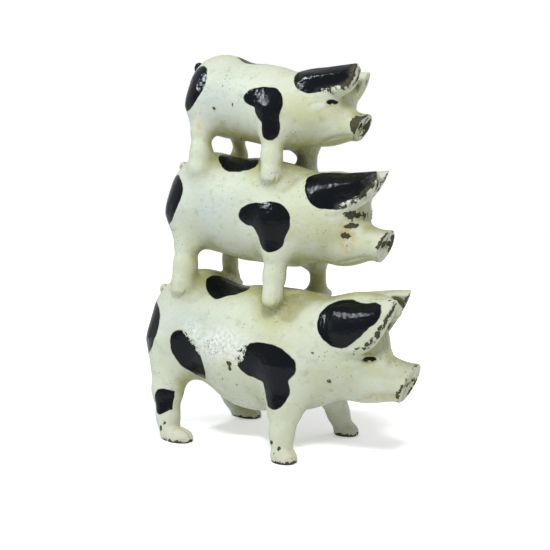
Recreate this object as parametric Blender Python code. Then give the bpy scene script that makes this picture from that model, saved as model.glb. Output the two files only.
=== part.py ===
"""Three stacked cast-iron pigs: two hollow half castings held together by four slotted screws.

Frame: +X towards the snouts, +Y towards the pigs' left flanks, +Z up. The origin is under the
middle of the object's box, at floor level. Shapes are given in millimetres and scaled by MM.

The pigs are one smooth-blended solid, written as a distance field: ellipsoid lumps for the
trunk, an oval muzzle, thick ears, tapered legs, hooves and a curled tail. The field is
polygonised, split on the centre plane, hollowed, and drilled for the screws.
"""

import bmesh
import bpy
import numpy as np
import openvdb  # comes with Blender
from mathutils import Matrix, Vector

MM = 0.001

# Driving dimensions, in millimetres
WALL = 4.0  # casting wall over the hollow trunks
PARTING_GAP = 0.3  # between the two castings' faces
GRID = 1.5  # spacing of the grid that the field is read on
CASTING_TRIANGLES = 6000  # of the whole outer skin, before it is split in two
CAVITY_TRIANGLES = 340  # of each trunk's hollow
ORIGIN_X = 7.75  # the middle of the stack's length, in the pigs' own x

SHANK_RADIUS = 2.0
BORE_RADIUS = 2.35
HEAD_RADIUS = 4.2
HEAD_HEIGHT = 2.6
COUNTERBORE_RADIUS = 4.7
SEAT_GAP = 0.3
SLOT_WIDTH = 1.1
SLOT_DEPTH = 1.2
BOSS_RADIUS = 6.5
STUD_RADIUS = 2.2
STUD_LENGTH = 2.8
STUD_GAP = 0.35

# Screws: x and z of the axis, y of the head's seat, y of the blind hole's end
SCREWS = {
    "screw_bottom_rear": (-40.0, 64.0, 20.0, -18.0),
    "screw_bottom_front": (26.0, 55.0, 18.0, -17.0),
    "screw_middle": (-8.0, 128.0, 15.0, -15.0),
    "screw_top": (-6.0, 186.0, 11.0, -12.0),
}

# Each lump is x, z, then its half length, half width and half height, from tail to brow.
# A leg's stations are x, distance from the centre plane, z and radius, from hip to hoof.
# The upper pigs' far hind legs are slimmer, and their far fore legs have stations of their own.
BOTTOM = {
    "lumps": [
        (-43, 60, 30, 30, 31.5),
        (-3, 50, 38, 30, 34.5),
        (25, 51.5, 30, 27.5, 31),
        (45, 54.5, 23, 20, 23.5),
        (56.5, 57, 17, 16, 19.5),
    ],
    "lump_blend": 12.0,
    "muzzle": {"root": (66, 44.5), "disc": (87, 40.2), "r0": (12.5, 12), "r1": (7.0, 9.8), "lean": 13},
    "lip": 1.2,
    "jaw": (61, 38.5, 20, 11.5, 10.5),
    "crest": (62, 76, 20, 9.5, 8.5),
    "hind": [(-50, 17, 50, 16.5), (-49, 25, 26, 8.4), (-45, 29.5, 12, 5.8), (-42, 31.5, 4, 5.6)],
    "fore": [(28, 17, 43, 14), (28.5, 22.5, 26, 8.8), (30, 28, 13, 5.8), (32, 30.6, 4, 5.5)],
    "leg_blend": 8.0,
    "far_hind_slim": 1.0,
    "hooves": [((-35.5, 31.8, 2), (9, 6.2, 5.5)), ((33.8, 31, 2), (7, 6, 5.5))],
    "hoof_blend": 2.0,
    "ear": {"root": (44, 11, 76), "thick": 2.0, "bulge": 2.6, "cup": 0.015, "ridge": 5.0, "depth": 5.5},
    "ears": [((83.7, 8.3, 82.7), 4.0, 24.5, 3.0, 0.8), ((83.0, 8.4, 86.1), 8.5, 24, 1.0, 0.8)],
    "tail": ((-71.0, 77.5), (5.5, 2.5, 4.0)),
    "boss_screws": ("screw_bottom_rear", "screw_bottom_front"),
    "stud": (71.0, 44.0),
}
MIDDLE = {
    "lumps": [
        (-35, 130.5, 25, 25, 27),
        (-6, 125.5, 36, 25, 28),
        (20, 121, 26, 23, 25.5),
        (40, 122.5, 19, 17.5, 20.5),
        (48, 126, 13.5, 13.5, 16.5),
    ],
    "lump_blend": 10.0,
    "muzzle": {"root": (54.5, 111.5), "disc": (73.2, 107.4), "r0": (10.5, 9.6), "r1": (6.2, 7.6), "lean": 10},
    "lip": 1.2,
    "jaw": (49, 107, 17, 10, 10),
    "crest": (49, 137, 14, 7.5, 6.5),
    "hind": [(-41.5, 14, 122, 12.5), (-40, 18, 107, 6.2), (-39.5, 20, 95, 6.0), (-39.5, 23, 86, 6.2)],
    "fore": [(20, 15, 118, 10), (20, 18.5, 104, 5.8), (20, 20, 92, 5.2), (21, 23.5, 82, 5.4)],
    "leg_blend": 8.5,
    "far_hind_slim": 0.64,
    "far_fore": [
        (20, 15, 118, 10),
        (21, 17, 100, 7.5),
        (22, 19, 92, 3.3),
        (21.5, 20, 87, 3.3),
        (20.5, 21.5, 79, 7),
    ],
    "hooves": [((-39.0, 25.5, 82), (4.0, 3.4, 2.4)), ((22.0, 26.0, 79.5), (4.0, 3.4, 2.4))],
    "hoof_blend": 2.5,
    "ear": {"root": (34, 9, 139.5), "thick": 2.0, "bulge": 2.4, "cup": 0.022, "ridge": 3.5, "depth": 7.0},
    "ears": [((72.2, 7.3, 144.2), 5.0, 18, 2.0, 0.33), ((70.6, 7.4, 145.0), 5.0, 17.5, 1.5, 0.9)],
    "tail": ((-57.0, 149.0), (5.2, 2.4, 3.7)),
    "boss_screws": ("screw_middle",),
    "stud": (60.0, 110.0),
}
TOP = {
    "lumps": [
        (-26, 188, 20.5, 21.5, 22),
        (-4, 182.5, 27, 20.5, 20.5),
        (16, 176.5, 22, 19.5, 19.5),
        (33, 177, 17, 15, 17.5),
        (41, 180, 11, 12, 14.5),
    ],
    "lump_blend": 9.0,
    "muzzle": {"root": (43, 170.5), "disc": (60, 166), "r0": (9.5, 9.2), "r1": (5.6, 6.4), "lean": 16},
    "lip": 1.0,
    "jaw": (40, 167, 14, 8.5, 8.5),
    "crest": (39, 190, 12, 6.5, 5.5),
    "hind": [(-31, 12, 180, 10.5), (-30.5, 16, 168, 5.2), (-30, 17.5, 157, 5.0), (-30, 20, 149, 5.2)],
    "fore": [(16.5, 13, 173, 8.6), (16, 16, 164, 5.2), (16.5, 17.5, 153, 4.7), (17.5, 20, 145, 4.9)],
    "leg_blend": 7.5,
    "far_hind_slim": 0.7,
    "far_fore": [
        (16.5, 13, 173, 8.6),
        (16.5, 15.5, 162, 8),
        (16.5, 17, 154, 4),
        (16, 17.5, 150, 4),
        (15.5, 19, 143, 7),
    ],
    "hooves": [((-29.0, 21.5, 147), (3.6, 3.2, 2.2)), ((18.5, 21.5, 142), (3.6, 3.2, 2.2))],
    "hoof_blend": 2.2,
    "ear": {"root": (26, 8, 193.5), "thick": 2.0, "bulge": 2.2, "cup": 0.024, "ridge": 3.0, "depth": 7.0},
    "ears": [((61.2, 7.7, 196.2), 3.8, 13.8, 7.0, 0.4), ((58.8, 7.7, 194.4), 3.5, 19, 2.0, 0.8)],
    "tail": ((-44.5, 204.0), (4.8, 2.3, 3.4)),
    "boss_screws": ("screw_top",),
    "stud": (50.0, 169.0),
}
PIGS = {"bottom": BOTTOM, "middle": MIDDLE, "top": TOP}
STAND_BLEND = 8.5  # fillet where an upper pig's legs run into the back beneath
EAR_DOWN = (0.05, 0.62, -1.0)  # the way an ear hangs from its crown
EAR_WIDEST = 0.3  # how far along an ear its lower edge is lowest
CROWN_HIGHEST = 0.2  # and its upper edge highest
EAR_DRAFT = 0.15  # how much an ear's sides close in, going deeper
EAR_BLEND = 2.5  # fillet where an ear runs into the head

CREAM = (0.60, 0.62, 0.47, 1.0)
STEEL = (0.20, 0.19, 0.17, 1.0)


# ---------------------------------------------------------------- distance fields


def smooth_union(a, b, k):
    h = np.maximum(k - np.abs(a - b), 0.0) / k
    return np.minimum(a, b) - h * h * k * 0.25


def smooth_intersection(a, b, k):
    return -smooth_union(-a, -b, k)


def ellipsoid(p, centre, radii):
    d = [(p[i] - centre[i]) / radii[i] for i in range(3)]
    k0 = np.sqrt(d[0] ** 2 + d[1] ** 2 + d[2] ** 2)
    k1 = np.sqrt(sum((d[i] / radii[i]) ** 2 for i in range(3))) + 1e-6
    return k0 * (k0 - 1.0) / k1


def limb(p, stations):
    """A chain of tapered capsules through stations of x, y, z and radius."""
    f = None
    for start, end in zip(stations, stations[1:]):
        along = [end[i] - start[i] for i in range(3)]
        away = [p[i] - start[i] for i in range(3)]
        t = sum(away[i] * along[i] for i in range(3)) / sum(a * a for a in along)
        t = np.clip(t, 0.0, 1.0)
        d = np.sqrt(sum((away[i] - t * along[i]) ** 2 for i in range(3)))
        d = d - (start[3] + (end[3] - start[3]) * t)
        f = d if f is None else smooth_union(f, d, 4.0)
    return f


def ear_frame(p, shape, tip):
    """Where p is in an ear: along it as a fraction, across it and off its sheet."""
    root = np.array(shape["root"], float)
    along = np.array(tip, float) - root
    length = np.linalg.norm(along)
    along = along / length
    down = np.array(EAR_DOWN) - along * along.dot(EAR_DOWN)
    down = down / np.linalg.norm(down)
    out = np.cross(down, along)
    out = out * np.sign(out[1])
    away = [p[i] - root[i] for i in range(3)]
    s = sum(away[i] * along[i] for i in range(3)) / length
    across = sum(away[i] * down[i] for i in range(3))
    off = sum(away[i] * out[i] for i in range(3))
    return s, across, off, length


def hump(along, top):
    """Rises round from 0 to 1 at the top, then how far it is from there to the end, 0 to 1."""
    rise = np.clip(along / top, 0.0, 1.0)
    return np.sqrt(1.0 - (1.0 - rise) ** 2), np.clip((along - top) / (1.0 - top), 0.0, 1.0)


def ear_edge(outline, s, across, length):
    """Distance to an ear's outline: its crown, width, and how full and blunt its front end is."""
    crown, width, fullness, bluntness = outline
    rise, fall = hump(s, EAR_WIDEST)
    lower = width * rise * (1.0 - fall**fullness) ** bluntness
    rise, fall = hump(s, CROWN_HIGHEST)
    upper = -crown * rise * (1.0 - fall)
    edge = np.abs(across - 0.5 * (lower + upper)) - 0.5 * (lower - upper)
    return np.maximum(edge, np.maximum(-s, s - 1.0) * length)


def ear(p, shape, tip, *outline):
    """A thick leaf on the +y side, ridged along its outer face, whose sides close in behind it."""
    s, across, off, length = ear_frame(p, shape, tip)
    edge = ear_edge(outline, s, across, length)
    rounding = np.exp(-((np.minimum(edge + 1.5, 0.0) / 5.0) ** 2))
    away = across - shape["ridge"]
    fall = shape["cup"] * away**2 * np.where(away < 0.0, 2.0, 1.0)
    skin = off + fall - shape["thick"] - shape["bulge"] * (1.0 - rounding)
    side = edge + EAR_DRAFT * np.clip(-skin - 2.5, 0.0, shape["depth"])
    return smooth_intersection(smooth_intersection(skin, side, 2.0), -skin - shape["depth"], 2.0)


def muzzle(p, shape, lip):
    """An oval tube that narrows from its root and ends in a flat, leaning disc with a lip."""
    root = np.array(shape["root"], float)
    axis = np.array(shape["disc"], float) - root
    length = np.linalg.norm(axis)
    axis = axis / length
    dx, dz = p[0] - root[0], p[2] - root[1]
    forward = dx * axis[0] + dz * axis[1]
    up = dz * axis[0] - dx * axis[1]
    t = np.clip(forward / length, -0.3, 1.3)
    swell = lip * np.clip((t - 0.65) / 0.35, 0.0, 1.3) ** 2
    half_width = shape["r0"][0] + (shape["r1"][0] - shape["r0"][0]) * t + swell
    half_height = shape["r0"][1] + (shape["r1"][1] - shape["r0"][1]) * t + swell
    oval = np.sqrt((p[1] / half_width) ** 2 + (up / half_height) ** 2) - 1.0
    side = oval * np.minimum(half_width, half_height)
    lean = np.radians(shape["lean"])
    face = (forward - length) * np.cos(lean) - up * np.sin(lean)
    return smooth_intersection(smooth_intersection(side, face, 1.2), -forward, 6.0)


def trunk(p, lumps, blend, inset=0.0):
    f = None
    for x, z, length, width, height in lumps:
        radii = (length - inset, width - inset, height - inset)
        lump = ellipsoid(p, (x, 0.0, z), radii)
        f = lump if f is None else smooth_union(f, lump, blend)
    return f


def pig(p, shape, below=None):
    """One pig, blended into the field of what it stands on."""
    f = trunk(p, shape["lumps"], shape["lump_blend"])
    f = smooth_union(f, muzzle(p, shape["muzzle"], shape["lip"]), 5.0)
    for x, z, length, width, height in (shape["jaw"], shape["crest"]):
        f = smooth_union(f, ellipsoid(p, (x, 0.0, z), (length, width, height)), 4.0)
    right = (p[0], -p[1], p[2])
    hip, *rest = shape["hind"]
    far_hind = [hip] + [(a, b, c, r * shape["far_hind_slim"]) for a, b, c, r in rest]
    far_fore = shape.get("far_fore", shape["fore"])
    for side, stations in ((right, shape["hind"]), (right, shape["fore"]), (p, far_hind), (p, far_fore)):
        f = smooth_union(f, limb(side, stations), shape["leg_blend"])
    if below is not None:
        f = smooth_union(f, below, STAND_BLEND)
    mirrored = (p[0], np.abs(p[1]), p[2])
    for centre, radii in shape["hooves"]:
        f = smooth_union(f, ellipsoid(mirrored, centre, radii), shape["hoof_blend"])
    for side, outline in zip((right, p), shape["ears"]):
        f = smooth_union(f, ear(side, shape["ear"], *outline), EAR_BLEND)
    (x, z), radii = shape["tail"]
    return smooth_union(f, ellipsoid(p, (x, 0.0, z), radii), 1.5)


def stack(p):
    f = None
    for shape in PIGS.values():
        f = pig(p, shape, f)
    return f


def hollow(p, shape):
    """The space inside one trunk: its lumps less the wall, short of the solid head."""
    return trunk(p, shape["lumps"][:-1], shape["lump_blend"], inset=WALL)


# ---------------------------------------------------------------- meshes


def polygonise(name, field, low, high, triangles):
    """A closed mesh object of the field's zero surface, thinned to about so many triangles."""
    low = np.array(low, float)
    counts = np.ceil((np.array(high) - low) / GRID).astype(int) + 1
    axes = [low[i] + np.arange(counts[i]) * GRID for i in range(3)]
    values = field(np.meshgrid(*axes, indexing="ij"))
    grid = openvdb.FloatGrid(3.0 * GRID)
    grid.copyFromArray(np.clip(values, -3.0 * GRID, 3.0 * GRID).astype(np.float32))
    points, _, quads = grid.convertToPolygons(isovalue=0.0, adaptivity=0.0)
    points = (points * GRID + low - (ORIGIN_X, 0.0, 0.0)) * MM
    mesh = bpy.data.meshes.new(name)
    mesh.from_pydata(points.tolist(), [], quads[:, ::-1].tolist())
    obj = bpy.data.objects.new(name, mesh)
    bpy.context.scene.collection.objects.link(obj)
    thin = obj.modifiers.new("thin", "DECIMATE")
    thin.ratio = min(1.0, triangles / (2.0 * len(quads)))
    return obj


def lathe(name, profile, x, z, segments=16):
    """A closed solid turned about a line along Y through x, z. The profile is (radius, y)."""
    mesh = bpy.data.meshes.new(name)
    bm = bmesh.new()
    rings = []
    for radius, y in profile:
        ring = []
        for i in range(segments):
            turn = 2.0 * np.pi * i / segments
            point = (radius * np.sin(turn), y, radius * np.cos(turn))
            ring.append(bm.verts.new(Vector(point) * MM))
        rings.append(ring)
    for first, second in zip(rings, rings[1:]):
        for i in range(segments):
            j = (i + 1) % segments
            bm.faces.new((first[i], first[j], second[j], second[i]))
    bm.faces.new(rings[0][::-1])
    bm.faces.new(rings[-1])
    bmesh.ops.recalc_face_normals(bm, faces=bm.faces)
    bm.to_mesh(mesh)
    bm.free()
    obj = bpy.data.objects.new(name, mesh)
    bpy.context.scene.collection.objects.link(obj)
    obj.location = Vector((x - ORIGIN_X, 0.0, z)) * MM
    return obj


def block(name, low, high):
    mesh = bpy.data.meshes.new(name)
    bm = bmesh.new()
    size = [high[i] - low[i] for i in range(3)]
    middle = [0.5 * (high[i] + low[i]) for i in range(3)]
    bmesh.ops.create_cube(bm, size=1.0, matrix=Matrix.Diagonal((*size, 1.0)))
    bmesh.ops.translate(bm, vec=middle, verts=bm.verts)
    bmesh.ops.scale(bm, vec=(MM, MM, MM), verts=bm.verts)
    bm.to_mesh(mesh)
    bm.free()
    obj = bpy.data.objects.new(name, mesh)
    bpy.context.scene.collection.objects.link(obj)
    return obj


def combine(obj, operation, other):
    cut = obj.modifiers.new(operation.lower(), "BOOLEAN")
    cut.operation = operation
    cut.solver = "EXACT"
    cut.object = other


def as_cutter(obj):
    obj.hide_render = True
    obj.display_type = "WIRE"
    return obj


def paint(obj, colour, roughness, metallic):
    material = bpy.data.materials.new(obj.name)
    material.use_nodes = True
    shader = material.node_tree.nodes["Principled BSDF"]
    shader.inputs["Base Color"].default_value = colour
    shader.inputs["Roughness"].default_value = roughness
    shader.inputs["Metallic"].default_value = metallic
    obj.data.materials.append(material)
    obj.data.shade_smooth()
    obj.data.set_sharp_from_angle(angle=np.radians(40.0))


# ---------------------------------------------------------------- pieces


def cavity(name, shape):
    """The cutter that hollows one trunk, leaving a solid boss round each screw."""
    lumps = shape["lumps"]
    low = (min(b[0] - b[2] for b in lumps), -40.0, min(b[1] - b[4] for b in lumps))
    high = (max(b[0] + b[2] for b in lumps), 40.0, max(b[1] + b[4] for b in lumps))
    space = polygonise(name + "_cavity", lambda p: hollow(p, shape), low, high, CAVITY_TRIANGLES)
    for screw in shape["boss_screws"]:
        x, z, _, _ = SCREWS[screw]
        boss = lathe(screw + "_boss", [(BOSS_RADIUS, -45.0), (BOSS_RADIUS, 45.0)], x, z)
        combine(space, "DIFFERENCE", as_cutter(boss))
    return as_cutter(space)


def screw_bore(name, x, z, seat, blind_end):
    """The cutter of one screw: a blind hole in the right casting, a counterbore in the left."""
    profile = [(BORE_RADIUS, blind_end), (BORE_RADIUS, seat), (COUNTERBORE_RADIUS, seat)]
    profile.append((COUNTERBORE_RADIUS, 45.0))
    return as_cutter(lathe(name + "_bore", profile, x, z))


def screw(name, x, z, seat, blind_end):
    """A slotted round-head screw that goes in from the left."""
    under = seat + SEAT_GAP
    tip = blind_end + 1.5
    profile = [(SHANK_RADIUS - 0.6, tip), (SHANK_RADIUS, tip + 1.0), (SHANK_RADIUS, under)]
    profile += [(HEAD_RADIUS, under), (HEAD_RADIUS, under + 0.5 * HEAD_HEIGHT)]
    profile += [(0.86 * HEAD_RADIUS, under + 0.85 * HEAD_HEIGHT), (0.5 * HEAD_RADIUS, under + HEAD_HEIGHT)]
    obj = lathe(name, profile, x, z)
    floor = under + HEAD_HEIGHT - SLOT_DEPTH
    slot = block(name + "_slot", (-6.0, floor, -0.5 * SLOT_WIDTH), (6.0, floor + 5.0, 0.5 * SLOT_WIDTH))
    slot.location = obj.location
    combine(obj, "DIFFERENCE", as_cutter(slot))
    paint(obj, STEEL, 0.5, 0.9)


def casting(name, side, skin, cutters):
    """One half of the stack: side is -1 for the right casting and 1 for the left."""
    obj = bpy.data.objects.new(name, skin.data.copy())
    bpy.context.scene.collection.objects.link(obj)
    thin = obj.modifiers.new("thin", "DECIMATE")
    thin.ratio = skin.modifiers["thin"].ratio
    face = 0.5 * PARTING_GAP
    near, far = sorted((side * face, side * 60.0))
    keep = block(name + "_keep", (-120.0, near, 0.0), (120.0, far, 260.0))
    combine(obj, "INTERSECT", as_cutter(keep))
    for cutter in cutters:
        combine(obj, "DIFFERENCE", cutter)
    for pig_name, shape in PIGS.items():
        x, z = shape["stud"]
        if side > 0:
            ends = [(STUD_RADIUS, -STUD_LENGTH), (STUD_RADIUS, 4.0)]
            combine(obj, "UNION", as_cutter(lathe(pig_name + "_stud", ends, x, z)))
        else:
            radius, depth = STUD_RADIUS + STUD_GAP, STUD_LENGTH + STUD_GAP
            ends = [(radius, -depth), (radius, 4.0)]
            combine(obj, "DIFFERENCE", as_cutter(lathe(pig_name + "_socket", ends, x, z)))
    paint(obj, CREAM, 0.4, 0.0)


def clear_scene():
    for obj in list(bpy.data.objects):
        bpy.data.objects.remove(obj)


def main():
    clear_scene()
    skin = polygonise("skin", stack, (-84, -45, -6), (98, 45, 217), CASTING_TRIANGLES)
    cutters = [cavity(name, shape) for name, shape in PIGS.items()]
    cutters += [screw_bore(name, *place) for name, place in SCREWS.items()]
    casting("right_casting", -1, skin, cutters)
    casting("left_casting", 1, skin, cutters)
    bpy.data.objects.remove(skin)
    for name, place in SCREWS.items():
        screw(name, *place)


main()
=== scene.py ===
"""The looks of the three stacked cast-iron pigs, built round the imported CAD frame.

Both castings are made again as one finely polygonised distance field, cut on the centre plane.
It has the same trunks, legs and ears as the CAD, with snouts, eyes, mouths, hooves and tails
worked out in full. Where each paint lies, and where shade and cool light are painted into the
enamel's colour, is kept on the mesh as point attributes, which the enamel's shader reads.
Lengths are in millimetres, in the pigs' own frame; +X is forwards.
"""

import bmesh
import bpy
import numpy as np
import openvdb  # comes with Blender
from mathutils import Matrix, Vector


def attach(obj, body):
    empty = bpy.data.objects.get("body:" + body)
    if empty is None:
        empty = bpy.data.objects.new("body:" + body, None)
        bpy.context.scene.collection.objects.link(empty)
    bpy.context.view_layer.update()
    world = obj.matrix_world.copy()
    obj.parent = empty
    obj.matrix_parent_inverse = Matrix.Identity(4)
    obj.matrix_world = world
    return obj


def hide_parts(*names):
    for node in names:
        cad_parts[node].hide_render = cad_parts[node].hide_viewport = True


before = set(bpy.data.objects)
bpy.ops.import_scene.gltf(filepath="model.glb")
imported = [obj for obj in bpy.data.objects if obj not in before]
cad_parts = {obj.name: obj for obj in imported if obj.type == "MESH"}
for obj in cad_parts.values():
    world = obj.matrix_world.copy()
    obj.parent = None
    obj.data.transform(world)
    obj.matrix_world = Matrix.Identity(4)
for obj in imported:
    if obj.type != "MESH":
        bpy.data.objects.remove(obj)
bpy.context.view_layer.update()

MM = 0.001
GRID = 0.83  # spacing of the fine grid
BLOCK = 8  # grid cells along a block
PARTING_GAP = 0.04  # the halves are drawn up tight, so no light comes through
ORIGIN_X = 7.75  # the pigs' own x of the frame's origin
FIELD_LOW, FIELD_HIGH = (-84, -46, -2.0), (98, 46, 217)  # corners of the space polygonised

# Screws: x and z of the axis, y of the head's seat, y of the blind hole's end
SCREWS = {
    "screw_bottom_rear": (-40.0, 64.0, 20.0, -18.0),
    "screw_bottom_front": (26.0, 55.0, 18.0, -17.0),
    "screw_middle": (-8.0, 128.0, 15.0, -15.0),
    "screw_top": (-6.0, 186.0, 11.0, -12.0),
}
SHANK_RADIUS = 2.0
BORE_RADIUS = 2.35
HEAD_RADIUS = 4.2
HEAD_HEIGHT = 2.6
COUNTERBORE_RADIUS = 4.7
SEAT_GAP = 0.3
SLOT_WIDTH = 1.1
SLOT_DEPTH = 1.2

# Each lump is x, z, then its half length, half width and half height, from tail to brow.
# A leg's stations are x, distance from the centre plane, z and radius, from hip to hoof.
# The upper pigs' far hind legs are slimmer, and their far fore legs have stations of their own.
# Each ear, near then far, is its tip, crown, width and how full and blunt its front end is.
BOTTOM = {
    "lumps": [
        (-43, 60, 30, 30, 31.5),
        (-3, 50, 38, 30, 34.5),
        (25, 51.5, 30, 27.5, 31),
        (45, 54.5, 23, 20, 23.5),
        (56.5, 57, 17, 16, 19.5),
    ],
    "lump_blend": 12.0,
    "muzzle": {"root": (66, 44.5), "disc": (87, 40.2), "r0": (12.5, 12), "r1": (7.0, 9.8), "lean": 13},
    "lip": 1.2,
    "jaw": (61, 38.5, 20, 11.5, 10.5),
    "crest": (62, 76, 20, 9.5, 8.5),
    "hind": [(-50, 17, 50, 16.5), (-49, 25, 26, 8.4), (-45, 29.5, 12, 5.8), (-42, 31.5, 4, 5.6)],
    "fore": [(28, 17, 43, 14), (28.5, 22.5, 26, 8.8), (30, 28, 13, 5.8), (32, 30.6, 4, 5.5)],
    "leg_blend": 8.0,
    "far_hind_slim": 1.0,
    "hooves": [((-35.5, 31.8, 2), (9, 6.2, 5.5)), ((33.8, 31, 2), (7, 6, 5.5))],
    "hoof_blend": 2.0,
    "ear": {"root": (44, 11, 76), "thick": 2.0, "bulge": 2.6, "cup": 0.015, "ridge": 5.0, "depth": 5.5},
    "ears": [((83.7, 8.3, 82.7), 4.0, 24.5, 3.0, 0.8), ((83.0, 8.4, 86.1), 8.5, 24, 1.0, 0.8)],
    "tail": (-72.5, 77.5, 1.0),
    "ear_blend": 1.6,
    "ear_wear": 0.74,
    "ear_blobs": [(11.5, 9, 12, 13, 0), (16, 10, 12, 10.5, -25), (22.5, 9, 12.3, 7.6, -20)],
    "eye": (70.3, 52.8, 0.85),
    "mouth": [(82.0, 35.5), (75.0, 35.5), (68.0, 33.5), (62.0, 31.5)],
}
MIDDLE = {
    "lumps": [
        (-35, 130.5, 25, 25, 27),
        (-6, 125.5, 36, 25, 28),
        (20, 121, 26, 23, 25.5),
        (40, 122.5, 19, 17.5, 20.5),
        (48, 126, 13.5, 13.5, 16.5),
    ],
    "lump_blend": 10.0,
    "muzzle": {"root": (54.5, 111.5), "disc": (73.2, 107.4), "r0": (10.5, 9.6), "r1": (6.2, 7.6), "lean": 10},
    "lip": 1.2,
    "jaw": (49, 107, 17, 10, 10),
    "crest": (49, 137, 14, 7.5, 6.5),
    "hind": [(-41.5, 14, 122, 12.5), (-40, 18, 107, 6.2), (-39.5, 20, 95, 6.0), (-39.5, 23, 86, 6.2)],
    "fore": [(20, 15, 118, 10), (20, 18.5, 104, 5.8), (20, 20, 92, 5.2), (21, 23.5, 82, 5.4)],
    "leg_blend": 8.5,
    "far_hind_slim": 0.64,
    "far_fore": [
        (20, 15, 118, 10),
        (21, 17, 100, 7.5),
        (22, 19, 92, 3.3),
        (21.5, 20, 87, 3.3),
        (20.5, 21.5, 79, 7),
    ],
    "hooves": [((-39.0, 25.5, 82), (4.0, 3.4, 2.4)), ((22.0, 26.0, 79.5), (4.0, 3.4, 2.4))],
    "hoof_blend": 2.5,
    "ear": {"root": (34, 9, 139.5), "thick": 2.0, "bulge": 2.4, "cup": 0.022, "ridge": 3.5, "depth": 7.0},
    "ears": [((72.2, 7.3, 144.2), 5.0, 18, 2.0, 0.33), ((70.6, 7.4, 145.0), 5.0, 17.5, 1.5, 0.9)],
    "tail": (-57.0, 149.0, 0.9),
    "ear_blend": 3.0,
    "ear_wear": 0.64,
    "eye": (59.5, 123.2, 0.75),
    "mouth": [(71.0, 101.5), (64.0, 102.5), (57.0, 101.0), (51.0, 99.5)],
}
TOP = {
    "lumps": [
        (-26, 188, 20.5, 21.5, 22),
        (-4, 182.5, 27, 20.5, 20.5),
        (16, 176.5, 22, 19.5, 19.5),
        (33, 177, 17, 15, 17.5),
        (41, 180, 11, 12, 14.5),
    ],
    "lump_blend": 9.0,
    "muzzle": {"root": (43, 170.5), "disc": (60, 166), "r0": (9.5, 9.2), "r1": (5.6, 6.4), "lean": 16},
    "lip": 1.0,
    "jaw": (40, 167, 14, 8.5, 8.5),
    "crest": (39, 190, 12, 6.5, 5.5),
    "hind": [(-31, 12, 180, 10.5), (-30.5, 16, 168, 5.2), (-30, 17.5, 157, 5.0), (-30, 20, 149, 5.2)],
    "fore": [(16.5, 13, 173, 8.6), (16, 16, 164, 5.2), (16.5, 17.5, 153, 4.7), (17.5, 20, 145, 4.9)],
    "leg_blend": 7.5,
    "far_hind_slim": 0.7,
    "far_fore": [
        (16.5, 13, 173, 8.6),
        (16.5, 15.5, 162, 8),
        (16.5, 17, 154, 4),
        (16, 17.5, 150, 4),
        (15.5, 19, 143, 7),
    ],
    "hooves": [((-29.0, 21.5, 147), (3.6, 3.2, 2.2)), ((18.5, 21.5, 142), (3.6, 3.2, 2.2))],
    "hoof_blend": 2.2,
    "ear": {"root": (26, 8, 193.5), "thick": 2.0, "bulge": 2.2, "cup": 0.024, "ridge": 3.0, "depth": 7.0},
    "ears": [((61.2, 7.7, 196.2), 3.8, 13.8, 7.0, 0.4), ((58.8, 7.7, 194.4), 3.5, 19, 2.0, 0.8)],
    "tail": (-45.0, 204.0, 0.85),
    "ear_blend": 3.0,
    "ear_wear": 0.64,
    "far_ear_wear": 0.3,
    "eye": (48.2, 178.5, 0.7),
    "mouth": [(58.0, 161.5), (52.0, 162.5), (46.0, 161.5), (41.0, 160.0)],
}
PIGS = {"bottom": BOTTOM, "middle": MIDDLE, "top": TOP}
STAND_BLEND = 8.5  # fillet where an upper pig's legs run into the back beneath
EAR_DOWN = (0.05, 0.62, -1.0)  # the way an ear hangs from its crown
EAR_WIDEST = 0.3  # how far along an ear its lower edge is lowest
CROWN_HIGHEST = 0.2  # and its upper edge highest
EAR_DRAFT = 0.15  # how much an ear's sides close in, going deeper

# Black patches. Each has the way it faces (degrees round from -Y towards +X, degrees up), the
# point its blobs are measured from, and its blobs: across, up, half length, half height, tilt.
RIGHT, LEFT, UP = (0, 0), (180, 0), (0, 90)
REAR_RIGHT = (-40, 0)
PATCHES = [
    (RIGHT, (20, -28, 45), [(0, 3.5, 18.5, 10, -3), (7.5, -8.5, 8, 10.5, 0)]),
    (RIGHT, (-31, -28, 46), [(-0.8, 0.8, 14.6, 7.8, -67)]),
    (REAR_RIGHT, (-62, -26, 58.5), [(-3, 0, 16.5, 15, -8)]),
    ((-20, 0), (-46, -34, 20.7), [(0.6, 0.3, 5.0, 7.0, 8)]),
    (UP, (-18, -8, 83), [(-4, 0, 10.5, 9.8, 0), (5, -0.5, 8.5, 6, 0)]),
    (RIGHT, (18, -23, 118), [(-4, 5, 13.5, 6.3, 0), (2.8, 1.5, 10.5, 10.2, 0), (2.5, -7.5, 7, 6.2, 0)]),
    (REAR_RIGHT, (-50, -22.3, 130.8), [(0, 0, 12, 13.8, -6)]),
    (UP, (-11, -9, 150), [(0, 0, 14.5, 8, -15)]),
    (RIGHT, (14, -20, 178), [(-3.5, 5, 9.5, 5, 0), (2.5, 0.5, 8.2, 8.8, 0), (4.2, -9.5, 5, 8, 0)]),
    (REAR_RIGHT, (-35, -20.2, 190.7), [(0, 0, 9.3, 12.2, -8)]),
    (UP, (-8, -0.5, 205), [(0, 0, 11, 5, -10)]),
    (LEFT, (16, 28, 48), [(0, 0, 14, 12, 20), (9, -9, 8, 8, 0)]),
    (LEFT, (-34, 28, 62), [(0, 0, 13, 9, 35)]),
    (LEFT, (-47, 33, 24), [(0, 0, 5, 6.5, 0)]),
    (LEFT, (12, 23, 120), [(0, 0, 11, 9, -20), (-7, -5, 7, 7, 0)]),
    (LEFT, (-34, 24, 134), [(0, 0, 10, 8, 30)]),
    (LEFT, (10, 20, 180), [(0, 0, 9, 7, 15)]),
    (LEFT, (-27, 20, 184), [(0, 0, 8, 7, -25)]),
]
PATCH_REACH = 17.0  # how far before or behind its point a patch still counts


# ---------------------------------------------------------------- distance fields


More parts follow.
